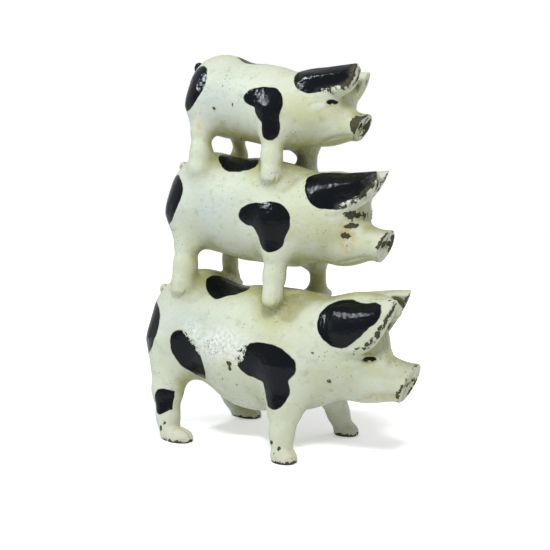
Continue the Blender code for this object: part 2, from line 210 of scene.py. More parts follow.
def smooth_union(a, b, k):
    h = np.maximum(k - np.abs(a - b), 0.0) / k
    return np.minimum(a, b) - h * h * k * 0.25


def smooth_intersection(a, b, k):
    return -smooth_union(-a, -b, k)


def bell(distance, width):
    return np.exp(-((distance / width) ** 2))


def ellipsoid(p, centre, radii):
    d = [(p[i] - centre[i]) / radii[i] for i in range(3)]
    k0 = np.sqrt(d[0] ** 2 + d[1] ** 2 + d[2] ** 2)
    k1 = np.sqrt(sum((d[i] / radii[i]) ** 2 for i in range(3))) + 1e-6
    return k0 * (k0 - 1.0) / k1


def limb(p, stations, blend=4.0):
    """A chain of tapered capsules through stations of x, y, z and radius."""
    f = None
    for start, end in zip(stations, stations[1:]):
        along = [end[i] - start[i] for i in range(3)]
        away = [p[i] - start[i] for i in range(3)]
        t = sum(away[i] * along[i] for i in range(3)) / sum(a * a for a in along)
        t = np.clip(t, 0.0, 1.0)
        d = np.sqrt(sum((away[i] - t * along[i]) ** 2 for i in range(3)))
        d = d - (start[3] + (end[3] - start[3]) * t)
        f = d if f is None else smooth_union(f, d, blend)
    return f


def ear_frame(p, shape, tip):
    """Where p is in an ear: along it as a fraction, across it and off its sheet."""
    root = np.array(shape["root"], float)
    along = np.array(tip, float) - root
    length = np.linalg.norm(along)
    along = along / length
    down = np.array(EAR_DOWN) - along * along.dot(EAR_DOWN)
    down = down / np.linalg.norm(down)
    out = np.cross(down, along)
    out = out * np.sign(out[1])
    away = [p[i] - root[i] for i in range(3)]
    s = sum(away[i] * along[i] for i in range(3)) / length
    across = sum(away[i] * down[i] for i in range(3))
    off = sum(away[i] * out[i] for i in range(3))
    return s, across, off, length


def hump(along, top):
    """Rises round from 0 to 1 at the top, then how far it is from there to the end, 0 to 1."""
    rise = np.clip(along / top, 0.0, 1.0)
    return np.sqrt(1.0 - (1.0 - rise) ** 2), np.clip((along - top) / (1.0 - top), 0.0, 1.0)


def ear_edge(outline, s, across, length):
    """Distance to an ear's outline: its crown, width, and how full and blunt its front end is."""
    crown, width, fullness, bluntness = outline
    rise, fall = hump(s, EAR_WIDEST)
    lower = width * rise * (1.0 - fall**fullness) ** bluntness
    rise, fall = hump(s, CROWN_HIGHEST)
    upper = -crown * rise * (1.0 - fall)
    edge = np.abs(across - 0.5 * (lower + upper)) - 0.5 * (lower - upper)
    return np.maximum(edge, np.maximum(-s, s - 1.0) * length)


def ear_skin(shape, edge, across, off):
    """How far outside an ear's outer face, which is ridged along its length and falls away below."""
    bulge = shape["bulge"] * (1.0 - bell(np.minimum(edge + 1.5, 0.0), 5.0))
    away = across - shape["ridge"]
    fall = shape["cup"] * away**2 * np.where(away < 0.0, 2.0, 1.0)
    return off + fall - shape["thick"] - bulge


def ear(p, shape, tip, *outline):
    """A thick leaf from its root to its tip, on the +y side, whose sides close in behind its rim."""
    s, across, off, length = ear_frame(p, shape, tip)
    edge = ear_edge(outline, s, across, length)
    skin = ear_skin(shape, edge, across, off)
    depth = shape["depth"]
    side = edge + EAR_DRAFT * np.clip(-skin - 2.5, 0.0, depth)
    return smooth_intersection(smooth_intersection(skin, side, 2.0), -skin - depth, 2.0)


def muzzle_frame(p, shape):
    root = np.array(shape["root"], float)
    axis = np.array(shape["disc"], float) - root
    length = np.linalg.norm(axis)
    axis = axis / length
    dx, dz = p[0] - root[0], p[2] - root[1]
    forward = dx * axis[0] + dz * axis[1]
    up = dz * axis[0] - dx * axis[1]
    lean = np.radians(shape["lean"])
    face = (forward - length) * np.cos(lean) - up * np.sin(lean)
    return forward, up, face, length


def muzzle(p, shape, lip):
    """An oval tube that narrows from its root and ends in a leaning, rimmed disc with nostrils."""
    forward, up, face, length = muzzle_frame(p, shape)
    t = np.clip(forward / length, -0.3, 1.3)
    swell = lip * np.clip((t - 0.65) / 0.35, 0.0, 1.3) ** 2
    half_width = shape["r0"][0] + (shape["r1"][0] - shape["r0"][0]) * t + swell
    half_height = shape["r0"][1] + (shape["r1"][1] - shape["r0"][1]) * t + swell
    oval = np.sqrt((p[1] / half_width) ** 2 + (up / half_height) ** 2) - 1.0
    side = oval * np.minimum(half_width, half_height)
    dish = 0.7 * np.clip((-side - 1.2) / 1.5, 0.0, 1.0)
    width, height = shape["r1"]
    nostril = np.sqrt(((np.abs(p[1]) - 0.42 * width) / 0.23) ** 2 + ((up - 0.12 * height) / 0.3) ** 2)
    pit = 1.8 * np.clip(1.35 - nostril / width, 0.0, 1.0)
    return smooth_intersection(smooth_intersection(side, face + dish + pit, 1.0), -forward, 6.0)


def trunk(p, lumps, blend):
    f = None
    for x, z, length, width, height in lumps:
        lump = ellipsoid(p, (x, 0.0, z), (length, width, height))
        f = lump if f is None else smooth_union(f, lump, blend)
    return f


def tail(p, x, z, size):
    """A pig's tail: a short root, then one turn of a curl that stands off the rump."""
    stations = [(x + 5.0 * size, 0.0, z - 1.5 * size, 1.9 * size)]
    for i in range(9):
        turn = np.radians(-60.0 + 42.0 * i)
        out = 3.1 * size * (1.0 - 0.03 * i)
        place = (x - out * np.sin(turn) * 0.8, (i - 4.0) * 0.35 * size, z + out * np.cos(turn) * 0.9)
        stations.append((*place, (1.55 - 0.06 * i) * size))
    return limb(p, stations, 1.0)


def polyline_distance(p, points):
    d = None
    for (x0, z0), (x1, z1) in zip(points, points[1:]):
        ax, az = x1 - x0, z1 - z0
        t = ((p[0] - x0) * ax + (p[2] - z0) * az) / (ax * ax + az * az)
        t = np.clip(t, 0.0, 1.0)
        one = np.hypot(p[0] - x0 - t * ax, p[2] - z0 - t * az)
        d = one if d is None else np.minimum(d, one)
    return d


def eye_lens(p, eye):
    """Signed distance, in x and z, to the almond outline of an eye."""
    x, z, size = eye
    u, v = (p[0] - x) / size, (p[2] - z) / size
    return (np.hypot(u, np.abs(v) + 2.2) - 3.9) * size


def eye_paint(p, eye):
    """Signed distance to the black of an eye: the almond less the lower part of its ball."""
    x, z, size = eye
    ball = np.hypot(p[0] - x - 0.5 * size, p[2] - z + 1.5 * size) - 0.85 * size
    return np.maximum(eye_lens(p, eye), -ball)


def engrave(p, f, shape):
    """Eyes, mouths and wrinkles, cut into the head's skin or raised from it."""
    x, z, size = shape["eye"]
    lens = eye_lens(p, shape["eye"])
    side = np.clip((np.abs(p[1]) - 4.0) / 2.0, 0.0, 1.0)
    lids = 0.5 * bell(lens - 0.6, 0.9 * size) - 0.6 * bell(lens + 0.1, 0.5 * size)
    ball = 0.5 * bell(np.hypot(p[0] - x - 0.5, p[2] - z), 1.6 * size)
    f = f - (lids + ball) * side
    crease = polyline_distance(p, [(x - 4 * size, z + 0.5), (x - 13 * size, z - 1.5 * size)])
    f = f + 0.45 * bell(crease, 1.3 * size) * side
    crease = polyline_distance(p, [(x - 3 * size, z - 4.5 * size), (x - 9 * size, z - 8 * size)])
    f = f + 0.3 * bell(crease, 1.4 * size) * side
    mouth = polyline_distance(p, shape["mouth"])
    return f + 0.6 * bell(mouth, 0.75) * side


def pig(p, shape, below=None):
    """One pig, blended into the field of what it stands on."""
    f = trunk(p, shape["lumps"], shape["lump_blend"])
    f = smooth_union(f, muzzle(p, shape["muzzle"], shape["lip"]), 5.0)
    for x, z, length, width, height in (shape["jaw"], shape["crest"]):
        f = smooth_union(f, ellipsoid(p, (x, 0.0, z), (length, width, height)), 4.0)
    right = (p[0], -p[1], p[2])
    hip, *rest = shape["hind"]
    far_hind = [hip] + [(a, b, c, r * shape["far_hind_slim"]) for a, b, c, r in rest]
    far_fore = shape.get("far_fore", shape["fore"])
    legs = ((right, shape["hind"]), (right, shape["fore"]), (p, far_hind), (p, far_fore))
    for side, stations in legs:
        f = smooth_union(f, limb(side, stations), shape["leg_blend"])
    if below is not None:
        f = smooth_union(f, below, STAND_BLEND)
    mirrored = (p[0], np.abs(p[1]), p[2])
    for centre, radii in shape["hooves"]:
        hoof = ellipsoid(mirrored, centre, radii)
        cleft = bell(mirrored[1] - centre[1], 0.7) * np.clip((p[0] - centre[0]) / 3.0, 0.0, 1.0)
        f = smooth_union(f, hoof + 0.9 * cleft, shape["hoof_blend"])
    f = engrave(p, f, shape)
    for side, outline in zip((right, p), shape["ears"]):
        f = smooth_union(f, ear(side, shape["ear"], *outline), shape["ear_blend"])
    return smooth_union(f, tail(p, *shape["tail"]), 1.0)


def unevenness(p):
    """The slow waves of a hand-made pattern, then the finer ones of sand casting."""
    waves = np.sin(p[0] / 9.1 + 1.3 * np.sin(p[2] / 13.0)) * np.sin(p[2] / 8.3 + p[1] / 11.0)
    fine = np.sin(p[0] / 2.3 + 2.0 * np.sin(p[2] / 3.1)) * np.sin(p[1] / 2.1 + p[2] / 2.7)
    return 0.16 * waves + 0.035 * fine


def stack(p):
    f = None
    for shape in PIGS.values():
        f = pig(p, shape, f)
    f = f + unevenness(p)
    f = f + 0.4 * bell(p[1], 0.4) - 0.04 * bell(np.abs(p[1]) - 1.1, 0.7)
    f = np.maximum(f, -p[2])
    for x, z, seat, blind_end in SCREWS.values():
        radius = np.hypot(p[0] - x, p[2] - z)
        f = smooth_intersection(f, -np.maximum(radius - COUNTERBORE_RADIUS, seat - p[1]), 0.6)
        f = np.maximum(f, -np.maximum(radius - BORE_RADIUS, blind_end - p[1]))
    return f


# ---------------------------------------------------------------- meshes


def fine_grid(low, high):
    """The field on a regular grid, worked out only in the blocks near the surface."""
    low = np.array(low, float)
    step = GRID * BLOCK
    counts = np.ceil((np.array(high) - low) / step).astype(int)
    middles = [low[i] + (np.arange(counts[i]) + 0.5) * step - 0.5 * GRID for i in range(3)]
    coarse = stack(np.meshgrid(*middles, indexing="ij"))
    near = np.argwhere(np.abs(coarse) < 1.9 * step)
    far = np.where(coarse > 0.0, 3.0 * GRID, -3.0 * GRID).astype(np.float32)
    values = np.repeat(np.repeat(np.repeat(far, BLOCK, 0), BLOCK, 1), BLOCK, 2)
    inner = np.arange(BLOCK)
    for part in np.array_split(near, max(1, len(near) // 1500)):
        index = [(part[:, i, None] * BLOCK + inner) for i in range(3)]
        shape = (len(part), BLOCK, BLOCK, BLOCK)
        spread = (index[0][:, :, None, None], index[1][:, None, :, None], index[2][:, None, None, :])
        spread = [np.broadcast_to(s, shape) for s in spread]
        p = [(low[i] + spread[i] * GRID).astype(np.float32) for i in range(3)]
        values[tuple(spread)] = np.clip(stack(p), -3.0 * GRID, 3.0 * GRID)
    return values, low


def gradient(p, step=0.3):
    """The field at p and its slope there."""
    f = stack(p)
    slope = []
    for i in range(3):
        q = list(p)
        q[i] = p[i] + step
        slope.append((stack(q) - f) / step)
    return f, np.array(slope)


def polygonise(low, high):
    """Points and quads of the field's zero surface, the points drawn onto it."""
    values, low = fine_grid(low, high)
    grid = openvdb.FloatGrid(3.0 * GRID)
    grid.copyFromArray(values)
    points, _, quads = grid.convertToPolygons(isovalue=0.0, adaptivity=0.0)
    points = points * GRID + low
    f, slope = gradient(points.T)
    step = np.clip(-f / (np.sum(slope**2, 0) + 1e-6), -0.3, 0.3)
    points = points + (slope * step).T
    return points, quads[:, ::-1]


def half(name, points, quads, side):
    """The part of the skin on one side of the parting gap, closed by a flat face."""
    mesh = bpy.data.meshes.new(name)
    mesh.from_pydata(points.tolist(), [], quads.tolist())
    bm = bmesh.new()
    bm.from_mesh(mesh)
    plane = side * 0.5 * PARTING_GAP
    everything = list(bm.verts) + list(bm.edges) + list(bm.faces)
    cut = bmesh.ops.bisect_plane(
        bm, geom=everything, dist=1e-4, plane_co=(0, plane, 0), plane_no=(0, side, 0), clear_inner=True
    )
    rim = [e for e in cut["geom_cut"] if isinstance(e, bmesh.types.BMEdge)]
    bmesh.ops.triangle_fill(bm, use_beauty=False, use_dissolve=False, edges=rim, normal=(0, -side, 0))
    bmesh.ops.recalc_face_normals(bm, faces=bm.faces)
    bm.to_mesh(mesh)
    bm.free()
    return mesh


def blob_distance(u, v, blobs):
    """Signed distance, roughly, to tilted ellipses run together."""
    d = None
    for cu, cv, length, height, tilt in blobs:
        c, s = np.cos(np.radians(tilt)), np.sin(np.radians(tilt))
        a = ((u - cu) * c + (v - cv) * s) / length
        b = ((v - cv) * c - (u - cu) * s) / height
        one = (np.hypot(a, b) - 1.0) * min(length, height)
        d = one if d is None else smooth_union(d, one, 2.0)
    return d


def patch_distance(p, skin, facing, centre, blobs, grazing=0.05):
    """Signed distance to a patch, flat on the plane it faces, only where the skin faces that way."""
    turn, rise = np.radians(facing)
    normal = np.array([np.sin(turn) * np.cos(rise), -np.cos(turn) * np.cos(rise), np.sin(rise)])
    across = np.array([np.cos(turn), np.sin(turn), 0.0])
    up = np.cross(normal, across)
    away = p - np.array(centre, float)[:, None]
    u, v = across @ away, up @ away
    d = blob_distance(u, v, blobs)
    turned_away = 20.0 * (grazing - normal @ skin)
    return np.maximum(d, np.maximum(np.abs(normal @ away) - PATCH_REACH, turned_away))


def ear_patch(p, shape):
    """Signed distance to the black outer faces of a pig's ears."""
    d = 9.0
    for sign, (tip, *outline) in zip((-1.0, 1.0), shape["ears"]):
        q = (p[0], sign * p[1], p[2])
        s, across, off, length = ear_frame(q, shape["ear"], tip)
        edge = ear_edge(outline, s, across, length)
        if "ear_blobs" in shape:
            inside = blob_distance(s * length, across, shape["ear_blobs"])
        else:
            inside = edge + 0.3
        if sign > 0.0:
            inside = np.maximum(inside, 3.0 - across)
        skin = ear_skin(shape["ear"], edge, across, off)
        behind = -skin - 2.0 - 5.0 * np.clip(4.0 * s - 3.2, 0.0, 1.0)
        d = np.minimum(d, np.maximum(inside, np.maximum(behind, skin - 6.0)))
    return d


# Bare or worn metal: as the patches, with how far through the paint it has gone last.
WEAR = [
    (
        RIGHT,
        (60, -9, 121),
        [(0.5, 2.3, 3.8, 2.1, 0), (-1.0, -3.2, 3.4, 1.5, 8), (-3.4, -7.8, 2.2, 1.6, 0)],
        0.92,
    ),
    (RIGHT, (57, -10, 108), [(0, 0, 1.6, 1.0, 0)], 0.7),
    (RIGHT, (60.5, -5, 167), [(0, 1.5, 3.4, 4.2, 60), (-2.0, -2.0, 2, 3, 0)], 1.0),
    (RIGHT, (74, -5, 109.7), [(0, 0, 1.4, 5.5, -25)], 0.9),
    (RIGHT, (86.5, -6, 39), [(0, 0, 1.3, 6.5, -28), (-2, -3, 1.6, 1.2, 0)], 0.85),
    (
        RIGHT,
        (55, -26, 50),
        [(-9.4, 5.7, 0.8, 0.6, 0), (-3.2, -9.2, 1.0, 0.8, 0), (-5.8, -3.2, 0.6, 0.5, 0)],
        1.0,
    ),
    (
        RIGHT,
        (-2, -30, 44),
        [(0, 2, 1.2, 0.8, 0), (0.3, -1, 0.9, 0.9, 0), (-6, -7.5, 0.6, 0.5, 0), (2.7, -9.8, 0.7, 0.6, 0)],
        1.0,
    ),
    (RIGHT, (-42, -33, 14), [(0.3, -4.3, 0.7, 0.7, 0), (-1.9, -8, 0.9, 1.2, 20)], 1.0),
    (
        RIGHT,
        (31, -35, 7),
        [(-3, 2.6, 1.1, 0.9, 30), (2.4, 0.5, 0.6, 0.6, 0), (0.2, -2.1, 0.8, 0.8, 0)],
        1.0,
    ),
    (
        RIGHT,
        (-12, -20, 185),
        [(-1, 5.2, 0.6, 1.2, -20), (5.3, -4.8, 0.7, 1.4, 25), (-6.7, -5.8, 0.6, 0.8, 0)],
        0.8,
    ),
    (LEFT, (20, 27, 60), [(0, 0, 1.4, 0.8, 0), (-8, -14, 1.0, 0.8, 0), (20, -6, 1.6, 1.0, 30)], 0.9),
    (LEFT, (74, 5, 109), [(0, 0, 1.4, 4.0, -25)], 0.8),
    (LEFT, (86.5, 6, 39), [(0, 0, 1.3, 5.0, -28)], 0.8),
]
SCUFF = [(RIGHT, (-10, -28, 53), [(-16, 5, 8, 4.5, -45), (0, 2, 17, 7.5, 8), (12, -1, 6, 5, 0)])]
# Painted cool light, with a bluer paint tone, mostly on the rumps that face the key
COOL_LIGHT_AND_TONE_AREAS = [
    (RIGHT, (-20, -20, 184), [(0, 0, 15, 12, 0)]),
    (RIGHT, (-22, -25, 126), [(0, 0, 20, 14, 0)]),
    (RIGHT, (-30, -28, 66), [(0, 0, 12, 10, 0)]),
    (RIGHT, (64, -15, 52), [(0, 0, 8, 6, 0)]),
    (LEFT, (-20, 25, 150), [(0, 0, 20, 30, 0)]),
]
# Painted yellow-olive shade, on the heads and on parts turned away from the key
YELLOW_SHADE_AREAS = [
    (RIGHT, (40, -12, 174), [(0, 0, 18, 12, 0)]),
    (RIGHT, (48, -15, 112), [(0, 0, 16, 12, 0)]),
    (RIGHT, (70, -12, 52), [(0, 0, 16, 8, 20)]),
    (RIGHT, (26, -28, 68), [(0, 0, 9, 11, 0)]),
    (RIGHT, (-44, -28, 96), [(0, 0, 10, 12, 0)]),
    (LEFT, (45, 12, 112), [(0, 0, 18, 12, 0)]),
    (LEFT, (30, 28, 56), [(0, 0, 20, 16, 0)]),
]
STAIN = [
    (RIGHT, (74, -8, 34), [(0, 0, 8, 1.6, 5)]),
    (RIGHT, (-28, -21, 170.5), [(0, 0, 1.5, 1.8, 0)]),
    (RIGHT, (-8.5, -14, 167.5), [(0, 0, 1.5, 1.8, 0)]),
    (RIGHT, (57, -10, 112), [(0, 0, 4, 7, 0)]),
]
AREA_FADES = {"scuff": 8.0, "stain": 2.5, "cool_light_and_tone": 26.0, "yellow_shade": 20.0}  # widths of their edges
WEAR_FADE = 2.2
WEAR_GRAZING = 0.15  # chips are kept off skin that faces further away than this
OCCLUSION_SHADE_REACHES = (7.0, 15.0, 28.0)  # how far out a place is looked from for what stands over it, which darkens it as painted shade


def ear_marks(p, shape):
    """How worn and how rubbed the ears are, most at their tips and front rims, and where they are."""
    worn, rubbed, ears = 0.0, 0.0, 0.0
    for sign, (tip, *outline) in zip((-1.0, 1.0), shape["ears"]):
        q = (p[0], sign * p[1], p[2])
        s, across, off, length = ear_frame(q, shape["ear"], tip)
        edge = ear_edge(outline, s, across, length)
        skin = ear_skin(shape["ear"], edge, across, off)
        reach = 3.2 if sign < 0.0 else shape["ear"]["depth"] + 1.5
        on_it = np.clip(reach + skin, 0.0, 1.0) * np.clip(1.6 - skin, 0.0, 1.0)
        lower = np.clip(0.5 + 0.25 * across, 0.0, 1.0) * np.clip(4.0 * s - 1.0, 0.0, 1.0)
        rim = on_it * lower * bell(edge + 0.9, 2.1) * np.clip(0.55 + 0.5 * s, 0.0, 1.0)
        worn = np.maximum(worn, rim if sign < 0.0 else rim * shape.get("far_ear_wear", 1.0))
        if "ear_blobs" not in shape and sign < 0.0:
            front = 0.5 * on_it * np.clip(6.0 * s - 4.6, 0.0, 1.0)
            worn = np.maximum(worn, front)
            middle = np.clip(4.0 * s - 1.2, 0.0, 1.0) * np.clip(3.9 - 4.0 * s, 0.0, 1.0)
            outer = np.clip(2.0 + skin, 0.0, 1.0)
            rubbed = np.maximum(rubbed, 0.5 * on_it * outer * lower * middle * bell(edge + 1.5, 1.8))
        solid = np.maximum(edge, -skin - shape["ear"]["depth"])
        ears = np.maximum(ears, np.clip(1.5 - solid, 0.0, 1.0) * np.clip(2.0 - skin, 0.0, 1.0))
    return worn, rubbed, ears


def snout_rim_wear(p, muzzle_shape):
    forward, up, face, _ = muzzle_frame(p, muzzle_shape)
    width, height = muzzle_shape["r1"]
    outer = np.hypot(p[1] / width, up / height)
    return bell(face + 0.3, 1.1) * np.clip(3.0 * outer - 2.3, 0.0, 1.0) * (outer < 1.7)


def paint_marks(p):
    """Every point attribute of the enamel, painted shade and cool light among them, by name, at the points p.
    """
    f, slope = gradient(p)
    normal = slope / (np.linalg.norm(slope, axis=0) + 1e-9)
    # Creases and the parting line, later darkened partly as grime and partly as painted shade
    crease = np.clip((2.6 - stack(p + 2.6 * normal)) / 2.6, 0.0, 1.0)
    crease = np.maximum(crease, 0.55 * bell(p[1], 0.5))
    # How far other parts stand over each place, the measure of the painted shade
    occlusion_shade = 0.0
    for reach in OCCLUSION_SHADE_REACHES:
        occlusion_shade = occlusion_shade + np.clip(1.0 - stack(p + reach * normal) / reach, 0.0, 1.0) / 3.0
    black = np.full(p.shape[1], 9.0)
    for facing, centre, blobs in PATCHES:
        black = np.minimum(black, patch_distance(p, normal, facing, centre, blobs))
    worn = np.zeros(p.shape[1])
    for facing, centre, blobs, amount in WEAR:
        d = patch_distance(p, normal, facing, centre, blobs, WEAR_GRAZING)
        worn = np.maximum(worn, amount * np.clip(0.6 - d / WEAR_FADE, 0.0, 1.0))
    rubbed = np.zeros(p.shape[1])
    for shape in PIGS.values():
        x, z, size = shape["eye"]
        crease = crease * (1.0 - 0.85 * bell(np.hypot(p[0] - x, p[2] - z), 6.0 * size))
        black = np.minimum(black, ear_patch(p, shape))
        ear_worn, ear_rubbed, on_ears = ear_marks(p, shape)
        worn = np.maximum(worn, shape["ear_wear"] * ear_worn)
        occlusion_shade = occlusion_shade * (1.0 - 0.75 * on_ears)
        rubbed = np.maximum(rubbed, ear_rubbed)
        worn = np.maximum(worn, 0.55 * snout_rim_wear(p, shape["muzzle"]))
        black = np.minimum(black, eye_paint(p, shape["eye"]) + 3.0 * (np.abs(p[1]) < 4.0))
    x, z, size = TOP["tail"]
    black = np.minimum(black, np.sqrt((p[0] - x) ** 2 + p[1] ** 2 + (p[2] - z) ** 2) - 5.5 * size)
    worn = np.maximum(worn, 0.8 * np.clip((3.6 - p[2]) / 3.0, 0.0, 1.0))
    hoof = np.zeros(p.shape[1])
    for centre, radii in BOTTOM["hooves"]:
        d = ellipsoid((p[0], np.abs(p[1]), p[2]), centre, radii)
        hoof = np.maximum(hoof, np.clip(1.0 - d / 1.5, 0.0, 1.0))
    areas = {"scuff": SCUFF, "stain": STAIN, "cool_light_and_tone": COOL_LIGHT_AND_TONE_AREAS, "yellow_shade": YELLOW_SHADE_AREAS}
    for name, patches in areas.items():
        nearest = np.full(p.shape[1], 30.0)
        for patch in patches:
            nearest = np.minimum(nearest, patch_distance(p, normal, *patch))
        areas[name] = np.clip(0.5 - nearest / AREA_FADES[name], 0.0, 1.0)
    return {
        "black": black,
        "worn": worn,
        "crease": crease,
        "occlusion_shade": occlusion_shade,
        "hoof": hoof,
        **areas,
        "scuff": np.maximum(areas["scuff"], rubbed),
    }


# ---------------------------------------------------------------- materials


class Nodes:
    """Short ways to add and link a material's nodes."""

    def __init__(self, name):
        self.material = bpy.data.materials.new(name)
        self.material.use_nodes = True
        self.tree = self.material.node_tree
        self.shader = self.tree.nodes["Principled BSDF"]

    def add(self, kind, values=(), **settings):
        node = self.tree.nodes.new(kind)
        for key, value in settings.items():
            setattr(node, key, value)
        for name, value in dict(values).items():
            self.feed(node.inputs[name], value)
        return node

    def feed(self, socket, value):
        if isinstance(value, bpy.types.NodeSocket):
            self.tree.links.new(value, socket)
        else:
            socket.default_value = value

    def attribute(self, name):
        return self.add("ShaderNodeAttribute", attribute_name=name).outputs["Fac"]

    def place(self, scale):
        """Object coordinates in millimetres, scaled."""
        where = self.add("ShaderNodeTexCoord").outputs["Object"]
        size = scale / MM
        return self.add("ShaderNodeMapping", {"Vector": where, "Scale": (size, size, size)}).outputs[0]

    def noise(self, scale, detail=3.0, roughness=0.5, distortion=0.0):
        values = {"Vector": self.place(scale), "Scale": 1.0, "Detail": detail}
        values.update({"Roughness": roughness, "Distortion": distortion})
        return self.add("ShaderNodeTexNoise", values).outputs["Fac"]

    def cells(self, scale, randomness=1.0):
        values = {"Vector": self.place(scale), "Scale": 1.0, "Randomness": randomness}
        return self.add("ShaderNodeTexVoronoi", values).outputs

    def math(self, operation, a, b=0.0, c=0.0):
        node = self.add("ShaderNodeMath", operation=operation)
        for socket, value in zip(node.inputs, (a, b, c)):
            self.feed(socket, value)
        return node.outputs[0]

    def ramp(self, value, low, high, out_low=0.0, out_high=1.0):
        values = {"Value": value, "From Min": low, "From Max": high}
        values.update({"To Min": out_low, "To Max": out_high})
        node = self.add("ShaderNodeMapRange", values, interpolation_type="SMOOTHSTEP")
        return node.outputs["Result"]

    def mix(self, factor, a, b):
        node = self.add("ShaderNodeMix", data_type="RGBA")
        self.feed(node.inputs[0], factor)
        self.feed(node.inputs[6], a)
        self.feed(node.inputs[7], b)
        return node.outputs[2]

    def bump(self, height, distance, strength=1.0, normal=None):
        values = {"Height": height, "Distance": distance, "Strength": strength}
        node = self.add("ShaderNodeBump", values)
        if normal is not None:
            self.feed(node.inputs["Normal"], normal)
        return node.outputs["Normal"]


CREAM_LIGHT = (0.490, 0.520, 0.430, 1.0)
CREAM = (0.460, 0.485, 0.365, 1.0)
# Bluish cream for the painted cool light and the bluer paint tone
CREAM_COOL_LIGHT = (0.420, 0.475, 0.435, 1.0)
# Darker, yellower cream for the painted shade on the heads
CREAM_YELLOW_SHADE = (0.425, 0.440, 0.275, 1.0)
# Dark olive cream for the painted shade where other parts stand over the skin
CREAM_OCCLUSION_SHADE = (0.330, 0.330, 0.150, 1.0)
# Olive grime, also used for the painted shade in the creases
GRIME_AND_SHADE = (0.120, 0.115, 0.045, 1.0)
BLACK = (0.002, 0.003, 0.005, 1.0)
WORN_BLACK = (0.055, 0.052, 0.045, 1.0)
IRON = (0.050, 0.052, 0.031, 1.0)
RUST = (0.330, 0.140, 0.050, 1.0)
STAIN_COLOUR = (0.420, 0.340, 0.150, 1.0)
HOOF = (0.500, 0.440, 0.340, 1.0)
SCUFFED = (0.620, 0.660, 0.630, 1.0)
DIRT = (0.100, 0.095, 0.060, 1.0)
STEEL_DARK = (0.100, 0.095, 0.085, 1.0)
STEEL_BRIGHT = (0.340, 0.330, 0.310, 1.0)


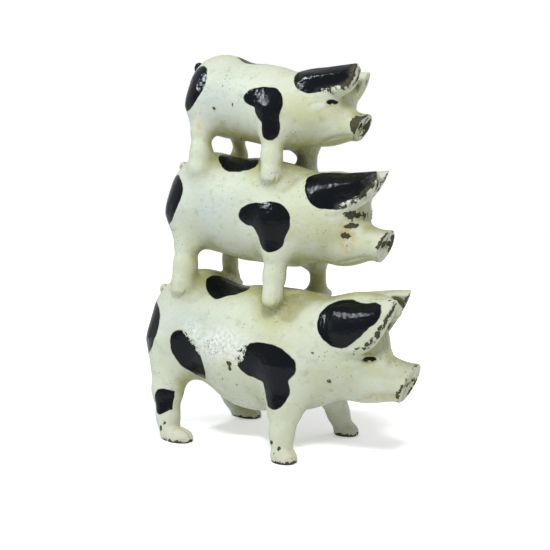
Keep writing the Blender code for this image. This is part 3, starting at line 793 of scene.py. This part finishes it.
def enamel():
    """Old gloss enamel on cast iron: cream with black patches, chipped, scuffed and grimy, with shade and
    cool light painted into its colour.
    """
    n = Nodes("aged_enamel")
    # Cream, varied in slow patches, with painted cool light and bluer paint on the lit rumps, painted
    # yellow-olive shade on the heads and painted shade where other parts stand over it
    slow = n.noise(0.045, 2.0)
    cream = n.mix(n.ramp(slow, 0.35, 0.65), CREAM_LIGHT, CREAM)
    # Painted cool light and bluer paint on the lit rumps
    cool_light_and_tone = n.math("MULTIPLY", n.attribute("cool_light_and_tone"), n.ramp(n.noise(0.06, 3.0), 0.2, 0.55))
    cream = n.mix(cool_light_and_tone, cream, CREAM_COOL_LIGHT)
    # Painted yellow-olive shade on the heads
    yellow_shade_amount = n.math("MULTIPLY", n.attribute("yellow_shade"), n.ramp(n.noise(0.09, 4.0), 0.25, 0.6))
    cream = n.mix(yellow_shade_amount, cream, CREAM_YELLOW_SHADE)
    # Painted shade where other parts stand over the skin
    occlusion = n.attribute("occlusion_shade")
    occlusion_shade_amount = n.math("MULTIPLY", n.ramp(occlusion, 0.1, 0.62), n.ramp(n.noise(0.12, 4.0), 0.1, 0.6))
    cream = n.mix(occlusion_shade_amount, cream, CREAM_OCCLUSION_SHADE)
    cream = n.mix(n.math("MULTIPLY", n.attribute("hoof"), 0.35), cream, HOOF)
    smudge = n.ramp(n.noise(0.22, 5.0, 0.65), 0.53, 0.76, 0.0, 0.32)
    cream = n.mix(smudge, cream, GRIME_AND_SHADE)
    stain = n.math("MULTIPLY", n.attribute("stain"), n.ramp(n.noise(0.35, 3.0), 0.25, 0.6, 0.0, 0.8))
    cream = n.mix(stain, cream, STAIN_COLOUR)
    # The scuff: paint rubbed white, with the black rubbed through to cream
    scuff = n.attribute("scuff")
    rubbed = n.math("MULTIPLY", scuff, n.ramp(n.noise(0.5, 6.0, 0.7), 0.38, 0.6))
    cream = n.mix(rubbed, cream, SCUFFED)
    # Black patches, brushed on with a slightly wavering edge
    waver = n.math("MULTIPLY_ADD", n.noise(0.16, 2.0), 1.5, -0.75)
    edge = n.math("ADD", n.attribute("black"), waver)
    patchy = n.ramp(n.noise(0.55, 6.0, 0.75), 0.42, 0.62)
    rub = n.math("MULTIPLY", patchy, n.ramp(scuff, 0.25, 0.62, 0.0, 7.0))
    black = n.ramp(n.math("ADD", edge, rub), 0.22, -0.22)
    worn = n.attribute("worn")
    dull = n.math("MULTIPLY", n.ramp(worn, 0.05, 0.6), n.ramp(n.noise(0.4, 4.0), 0.3, 0.62))
    ink = n.mix(dull, BLACK, WORN_BLACK)
    colour = n.mix(black, cream, ink)
    # Specks of dirt, sparse and unevenly spread
    cells = n.cells(0.42)
    crowd = n.ramp(n.noise(0.07, 2.0), 0.44, 0.66)
    speck = n.ramp(n.math("MULTIPLY_ADD", crowd, -0.13, cells["Distance"]), 0.06, 0.0, 0.0, 0.7)
    dirty = n.math("MULTIPLY_ADD", crowd, 0.07, n.math("MULTIPLY", scuff, 0.12))
    scratches = n.ramp(n.math("ADD", n.noise(0.9, 6.0, 0.8), dirty), 0.72, 0.78)
    speck = n.math("MAXIMUM", speck, scratches)
    speck = n.math("MULTIPLY", speck, n.math("SUBTRACT", 1.0, black))
    colour = n.mix(speck, colour, DIRT)
    # Darkening in the creases and along the parting line: partly settled grime, partly painted shade
    crease_dirt_and_shade = n.math("MULTIPLY_ADD", n.noise(0.6, 4.0), 0.5, n.attribute("crease"))
    crease_dirt_and_shade = n.ramp(crease_dirt_and_shade, 0.62, 1.05, 0.0, 0.75)
    colour = n.mix(crease_dirt_and_shade, colour, GRIME_AND_SHADE)
    # Chips through to the iron
    chip_noise = n.noise(0.42, 6.0, 0.62)
    bare = n.ramp(n.math("MULTIPLY_ADD", worn, 0.52, chip_noise), 0.79, 0.82)
    iron = n.mix(n.ramp(n.noise(0.8, 4.0), 0.5, 0.8, 0.0, 0.3), IRON, RUST)
    colour = n.mix(bare, colour, iron)
    n.feed(n.shader.inputs["Base Color"], colour)
    n.feed(n.shader.inputs["Metallic"], n.math("MULTIPLY", bare, 0.35))
    gloss = n.ramp(n.noise(0.3, 4.0), 0.3, 0.7, 0.26, 0.36)
    gloss = n.math("MULTIPLY_ADD", black, -0.2, gloss)
    gloss = n.math("ADD", gloss, n.math("MULTIPLY", dull, 0.22))
    gloss = n.math("ADD", gloss, n.math("MULTIPLY", crease_dirt_and_shade, 0.25))
    gloss = n.math("MAXIMUM", gloss, n.math("MULTIPLY", bare, 0.62))
    gloss = n.math("MAXIMUM", gloss, n.math("MULTIPLY", rubbed, 0.6))
    n.feed(n.shader.inputs["Roughness"], gloss)
    n.shader.inputs["Specular IOR Level"].default_value = 0.17
    # Height in millimetres: sand-cast skin, smoother and slower under the black, and paint's steps
    coarse = n.math("MULTIPLY_ADD", black, -0.26, 0.42)
    skin = n.math("MULTIPLY", n.noise(0.5, 5.0, 0.65), coarse)
    skin = n.math("MULTIPLY_ADD", n.noise(1.2, 3.0), n.math("MULTIPLY_ADD", black, -0.06, 0.07), skin)
    skin = n.math("MULTIPLY_ADD", n.noise(0.55, 0.0), n.math("MULTIPLY", black, 0.16), skin)
    pits = n.math("MULTIPLY", n.ramp(n.cells(0.5)["Distance"], 0.0, 0.28), 0.05)
    height = n.math("ADD", skin, pits)
    height = n.math("ADD", height, n.math("MULTIPLY", black, 0.05))
    height = n.math("SUBTRACT", height, n.math("MULTIPLY", bare, 0.16))
    n.feed(n.shader.inputs["Normal"], n.bump(height, MM, 1.0))
    return n.material


def screw_steel():
    """Blackened steel, brighter in rubbed patches and brown in rusty ones."""
    n = Nodes("screw_steel")
    rubbed = n.ramp(n.noise(0.5, 5.0, 0.6), 0.4, 0.65)
    colour = n.mix(rubbed, STEEL_DARK, STEEL_BRIGHT)
    rusty = n.ramp(n.noise(0.9, 5.0), 0.55, 0.7, 0.0, 0.8)
    colour = n.mix(rusty, colour, RUST)
    n.feed(n.shader.inputs["Base Color"], colour)
    n.feed(n.shader.inputs["Metallic"], n.ramp(rusty, 0.0, 1.0, 0.9, 0.2))
    n.feed(n.shader.inputs["Roughness"], n.ramp(n.noise(1.2, 4.0), 0.3, 0.7, 0.3, 0.55))
    n.feed(n.shader.inputs["Normal"], n.bump(n.noise(1.4, 4.0), 0.05 * MM))
    return n.material


# ---------------------------------------------------------------- pieces


def link(name, mesh, material):
    obj = bpy.data.objects.new(name, mesh)
    bpy.context.scene.collection.objects.link(obj)
    mesh.materials.append(material)
    return obj


def castings(material):
    points, quads = polygonise(FIELD_LOW, FIELD_HIGH)
    for name, side in (("right_casting", -1), ("left_casting", 1)):
        mesh = half(name + "_enamelled", points, quads, side)
        co = np.zeros(len(mesh.vertices) * 3)
        mesh.vertices.foreach_get("co", co)
        p = co.reshape(-1, 3).T
        for key, values in paint_marks(p).items():
            layer = mesh.attributes.new(key, "FLOAT", "POINT")
            layer.data.foreach_set("value", np.ascontiguousarray(values, np.float32))
        p = (p - np.array([[ORIGIN_X], [0.0], [0.0]])) * MM
        mesh.vertices.foreach_set("co", np.ascontiguousarray(p.T, np.float32).ravel())
        mesh.update()
        mesh.shade_smooth()
        mesh.set_sharp_from_angle(angle=np.radians(50.0))
        piece = link(name + "_enamelled", mesh, material)
        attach(piece, "root")
        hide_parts(name)


def lathe(name, profile, segments=64):
    """A closed solid turned about the Y axis. The profile is (radius, y), tip to crown."""
    mesh = bpy.data.meshes.new(name)
    bm = bmesh.new()
    rings = []
    for radius, y in profile:
        ring = []
        for i in range(segments):
            turn = 2.0 * np.pi * i / segments
            ring.append(bm.verts.new((radius * np.sin(turn), y, radius * np.cos(turn))))
        rings.append(ring)
    for first, second in zip(rings, rings[1:]):
        for i in range(segments):
            j = (i + 1) % segments
            bm.faces.new((first[i], first[j], second[j], second[i]))
    bm.faces.new(rings[0][::-1])
    bm.faces.new(rings[-1])
    bmesh.ops.recalc_face_normals(bm, faces=bm.faces)
    bm.to_mesh(mesh)
    bm.free()
    return mesh


def screw_profile(tip, under):
    """A coarse-threaded shank, then a domed head with an undercut edge."""
    profile = [(SHANK_RADIUS - 0.7, tip)]
    pitch = 1.0
    turns = int((under - 3.0 - tip) / pitch)
    for i in range(turns):
        start = tip + 0.4 + i * pitch
        profile += [(SHANK_RADIUS - 0.35, start), (SHANK_RADIUS, start + 0.4 * pitch)]
        profile += [(SHANK_RADIUS, start + 0.55 * pitch), (SHANK_RADIUS - 0.35, start + 0.95 * pitch)]
    profile += [(SHANK_RADIUS, under - 1.5), (SHANK_RADIUS, under)]
    profile += [(HEAD_RADIUS - 0.2, under), (HEAD_RADIUS, under + 0.25)]
    for i in range(9):
        rise = i / 8.0
        radius = HEAD_RADIUS * np.cos(0.5 * np.pi * rise * 0.93)
        profile.append((radius, under + 0.35 + (HEAD_HEIGHT - 0.35) * np.sin(0.5 * np.pi * rise)))
    return profile


def screws(material):
    for name, (x, z, seat, blind_end) in SCREWS.items():
        under = seat + SEAT_GAP
        mesh = lathe(name + "_turned", screw_profile(blind_end + 1.5, under))
        bm = bmesh.new()
        slot_floor = under + HEAD_HEIGHT - SLOT_DEPTH
        bmesh.ops.create_cube(bm, size=1.0, matrix=Matrix.Diagonal((12.0, 5.0, SLOT_WIDTH, 1.0)))
        bmesh.ops.translate(bm, vec=(0.0, slot_floor + 2.5, 0.0), verts=bm.verts)
        slot_mesh = bpy.data.meshes.new(name + "_slot")
        bm.to_mesh(slot_mesh)
        bm.free()
        piece = link(name + "_turned", mesh, material)
        cutter = bpy.data.objects.new(name + "_slot", slot_mesh)
        bpy.context.scene.collection.objects.link(cutter)
        cut = piece.modifiers.new("slot", "BOOLEAN")
        cut.operation = "DIFFERENCE"
        cut.solver = "EXACT"
        cut.object = cutter
        solid = bpy.data.meshes.new_from_object(piece.evaluated_get(bpy.context.evaluated_depsgraph_get()))
        piece.modifiers.clear()
        piece.data = solid
        bpy.data.objects.remove(cutter)
        turn = Matrix.Rotation(np.radians(17.0 * len(name)), 4, "Y")
        place = Matrix.Translation((x - ORIGIN_X, 0.0, z)) @ turn
        solid.transform(Matrix.Scale(MM, 4) @ place)
        solid.shade_smooth()
        solid.set_sharp_from_angle(angle=np.radians(35.0))
        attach(piece, "root")
        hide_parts(name)


# ---------------------------------------------------------------- studio


ROOM_LIGHT = 0.5
FLOOR_GLOW = (0.3, 0.65)  # near the object, where shadows fall, and far from it


def floor():
    mesh = bpy.data.meshes.new("floor")
    reach = 4.0
    corners = [(-reach, -reach, 0), (reach, -reach, 0), (reach, reach, 0), (-reach, reach, 0)]
    mesh.from_pydata(corners, [], [(0, 1, 2, 3)])
    n = Nodes("pale_floor")
    n.shader.inputs["Base Color"].default_value = (0.93, 0.93, 0.93, 1.0)
    n.shader.inputs["Roughness"].default_value = 0.6
    n.shader.inputs["Emission Color"].default_value = (1.0, 1.0, 1.0, 1.0)
    seen = n.add("ShaderNodeLightPath").outputs["Is Camera Ray"]
    where = n.add("ShaderNodeTexCoord").outputs["Object"]
    away = n.add("ShaderNodeVectorMath", {"Vector": where}, operation="LENGTH").outputs["Value"]
    glow = n.ramp(away, 0.15, 0.9, *FLOOR_GLOW)
    n.feed(n.shader.inputs["Emission Strength"], n.math("MULTIPLY", seen, glow))
    obj = link("floor", mesh, n.material)


def softbox(name, place, target, width, height, power, colour):
    light = bpy.data.lights.new(name, "AREA")
    light.shape = "RECTANGLE"
    light.size = width
    light.size_y = height
    light.energy = power
    light.color = colour
    obj = bpy.data.objects.new(name, light)
    bpy.context.scene.collection.objects.link(obj)
    obj.location = place
    obj.rotation_mode = "QUATERNION"
    obj.rotation_quaternion = (Vector(target) - Vector(place)).to_track_quat("-Z", "Y")


def studio():
    floor()
    world = bpy.data.worlds.new("white_room")
    world.use_nodes = True
    # The camera sees pure white behind the object, which a dimmer room lights
    seen = world.node_tree.nodes.new("ShaderNodeLightPath").outputs["Is Camera Ray"]
    strength = world.node_tree.nodes.new("ShaderNodeMapRange")
    strength.inputs["To Min"].default_value = ROOM_LIGHT
    world.node_tree.links.new(seen, strength.inputs["Value"])
    background = world.node_tree.nodes["Background"]
    background.inputs["Color"].default_value = (1.0, 1.0, 1.0, 1.0)
    world.node_tree.links.new(strength.outputs["Result"], background.inputs["Strength"])
    bpy.context.scene.world = world
    middle = (0.0, 0.0, 0.1)
    softbox("key", (-0.5, -0.45, 0.7), middle, 0.08, 0.08, 3.8, (0.88, 0.96, 1.0))
    softbox("top_front", (0.36, -0.46, 0.72), middle, 0.16, 0.16, 5.0, (1.0, 1.0, 0.98))
    softbox("window", (-0.8, -0.35, 0.15), middle, 0.25, 0.5, 0.35, (0.8, 0.9, 1.0))
    softbox("back_fill", (0.35, 0.8, 0.5), middle, 0.3, 0.3, 1.2, (1.0, 1.0, 1.0))
    bpy.context.scene.view_settings.view_transform = "Standard"
    bpy.context.scene.view_settings.look = "None"


CAMERA_PLACE = (267.07, -375.57, 128.73)
CAMERA_TURN = 34.75  # degrees round from -Y towards +X
CAMERA_DROP = 4.79  # degrees below the horizontal
LENS = 55.64


def camera():
    data = bpy.data.cameras.new("camera")
    data.lens = LENS
    data.sensor_width = 36.0
    data.clip_start = 0.02
    data.clip_end = 20.0
    obj = bpy.data.objects.new("camera", data)
    bpy.context.scene.collection.objects.link(obj)
    x, y, z = CAMERA_PLACE
    obj.location = ((x - ORIGIN_X) * MM, y * MM, z * MM)
    turn, drop = np.radians(CAMERA_TURN), np.radians(CAMERA_DROP)
    back = Vector((np.sin(turn) * np.cos(drop), -np.cos(turn) * np.cos(drop), np.sin(drop)))
    obj.rotation_mode = "QUATERNION"
    obj.rotation_quaternion = (-back).to_track_quat("-Z", "Y")
    bpy.context.scene.camera = obj


castings(enamel())
screws(screw_steel())
studio()
camera()
